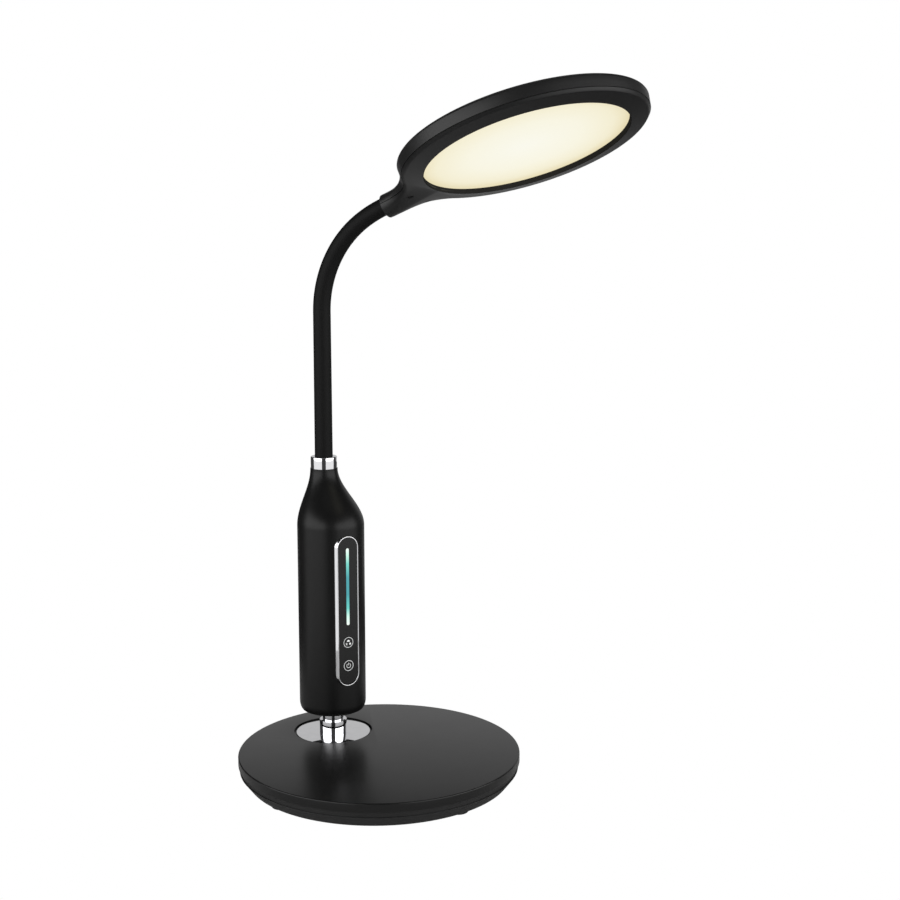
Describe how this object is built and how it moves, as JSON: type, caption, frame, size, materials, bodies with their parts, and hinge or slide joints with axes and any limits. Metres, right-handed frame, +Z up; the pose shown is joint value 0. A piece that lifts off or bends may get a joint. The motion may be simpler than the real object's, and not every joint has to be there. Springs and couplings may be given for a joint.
{
  "type": "gooseneck desk lamp",
  "caption": "Gooseneck desk lamp: heavy round base, swivelling upright body with a touch panel and lit slider, bendable neck and a flat round edge-lit head.",
  "frame": {"origin": "middle of the round base, on the surface the lamp stands on", "axes": "+Z up, -Y to the front where the head reaches, +X to the right seen from the front"},
  "size_m": [0.2324, 0.2485, 0.4587],
  "materials": {
    "base_black": "satin black",
    "shell_black": "matt black",
    "weight_iron": "plain cast, painted grey",
    "foot_rubber": "matt",
    "screw_steel": "zinc plated",
    "chrome": "polished chrome",
    "body_black": "satin black paint",
    "panel_black": "smooth dark touch surface",
    "slider_glow": "lit clear plastic",
    "board_green": "solder mask",
    "chip_black": "moulded",
    "led_white": "clear",
    "spring_brass": "plain",
    "frame_plastic": "moulded",
    "neck_rubber": "smooth matt sleeve",
    "neck_steel": "plain steel",
    "head_black": "satin black",
    "diffuser_white": "opal, lit warm white",
    "guide_clear": "clear acrylic",
    "sheet_white": "white film",
    "plate_aluminium": "plain"
  },
  "bodies": {
    "base": {"base_cover": "base_black", "base_weight": "weight_iron", "base_bottom_cover": "shell_black", "base_feet": "foot_rubber", "base_screws": "screw_steel", "base_escutcheon": "chrome", "power_inlet": "shell_black", "inlet_pin": "chrome", "stem_tube": "screw_steel", "stem_lower_sleeve": "chrome", "stem_upper_sleeve": "chrome", "stem_nuts": "screw_steel", "stem_washers": "screw_steel"},
    "lamp_body": {"body_shell": "body_black", "body_bottom_cap": "shell_black", "body_screws": "screw_steel", "board_frame": "frame_plastic", "panel_bezel": "chrome", "touch_panel": "panel_black", "slider_light_guide": "slider_glow", "control_board": "board_green", "board_components": "chip_black", "indicator_leds": "led_white", "touch_springs": "spring_brass", "board_screws": "screw_steel", "neck_collar": "chrome", "neck_lock_nut": "screw_steel", "neck_sleeve_0": "neck_rubber", "neck_core_0": "neck_steel"},
    "neck_1": {"neck_sleeve_1": "neck_rubber", "neck_core_1": "neck_steel"},
    "neck_2": {"neck_sleeve_2": "neck_rubber", "neck_core_2": "neck_steel"},
    "neck_3": {"neck_sleeve_3": "neck_rubber", "neck_core_3": "neck_steel"},
    "neck_4": {"neck_sleeve_4": "neck_rubber", "neck_core_4": "neck_steel"},
    "neck_5": {"neck_sleeve_5": "neck_rubber", "neck_core_5": "neck_steel"},
    "neck_6": {"neck_sleeve_6": "neck_rubber", "neck_core_6": "neck_steel"},
    "neck_7": {"neck_sleeve_7": "neck_rubber", "neck_core_7": "neck_steel"},
    "neck_8": {"neck_sleeve_8": "neck_rubber", "neck_core_8": "neck_steel"},
    "lamp_head": {"neck_sleeve_9": "neck_rubber", "neck_core_9": "neck_steel", "neck_end_clamp": "screw_steel", "head_cover": "head_black", "head_bezel": "head_black", "head_screws": "screw_steel", "diffuser": "diffuser_white", "light_guide": "guide_clear", "reflector_sheet": "sheet_white", "led_strip": "led_white", "heat_plate": "plate_aluminium", "head_lead": "frame_plastic"}
  },
  "joints": [
    {"name": "body_swivel", "type": "hinge", "parent": "base", "child": "lamp_body", "pos_m": [0, 0.052, 0.04], "axis": [0, 0, 1], "range_deg": [-81, 99]},
    {"name": "neck_lean_0", "type": "hinge", "parent": "lamp_body", "child": "neck_1", "pos_m": [0.00141, 0.06089, 0.22495], "axis": [0.9304, 0.3665, 0], "range_deg": [-14, 14]},
    {"name": "neck_sway_1", "type": "hinge", "parent": "neck_1", "child": "neck_2", "pos_m": [0.00141, 0.06089, 0.24615], "axis": [0.3665, -0.9304, 0], "range_deg": [-14, 14]},
    {"name": "neck_lean_2", "type": "hinge", "parent": "neck_2", "child": "neck_3", "pos_m": [0.00141, 0.06089, 0.26736], "axis": [0.9304, 0.3665, 0], "range_deg": [-14, 14]},
    {"name": "neck_lean_3", "type": "hinge", "parent": "neck_3", "child": "neck_4", "pos_m": [0.00141, 0.06089, 0.28856], "axis": [0.9304, 0.3665, 0], "range_deg": [-14, 14]},
    {"name": "neck_sway_4", "type": "hinge", "parent": "neck_4", "child": "neck_5", "pos_m": [0.00141, 0.06089, 0.30976], "axis": [0.3665, -0.9304, 0], "range_deg": [-14, 14]},
    {"name": "neck_nod_5", "type": "hinge", "parent": "neck_5", "child": "neck_6", "pos_m": [0.00228, 0.05868, 0.33076], "axis": [0.9304, 0.3665, 0], "range_deg": [-14, 14]},
    {"name": "neck_nod_6", "type": "hinge", "parent": "neck_6", "child": "neck_7", "pos_m": [0.00528, 0.05106, 0.35024], "axis": [0.9304, 0.3665, 0], "range_deg": [-14, 14]},
    {"name": "neck_sway_7", "type": "hinge", "parent": "neck_7", "child": "neck_8", "pos_m": [0.01017, 0.03864, 0.36662], "axis": [0.2481, -0.6298, -0.7361], "range_deg": [-14, 14]},
    {"name": "neck_nod_8", "type": "hinge", "parent": "neck_8", "child": "lamp_head", "pos_m": [0.01654, 0.02247, 0.37866], "axis": [0.9304, 0.3665, 0], "range_deg": [-14, 14]}
  ],
  "couplings": [
    {"joint": "neck_lean_2", "follows": "neck_lean_0", "ratio": 1},
    {"joint": "neck_lean_3", "follows": "neck_lean_0", "ratio": 1},
    {"joint": "neck_sway_4", "follows": "neck_sway_1", "ratio": 1},
    {"joint": "neck_sway_7", "follows": "neck_sway_1", "ratio": 1},
    {"joint": "neck_nod_6", "follows": "neck_nod_5", "ratio": 1},
    {"joint": "neck_nod_8", "follows": "neck_nod_5", "ratio": 1}
  ]
}
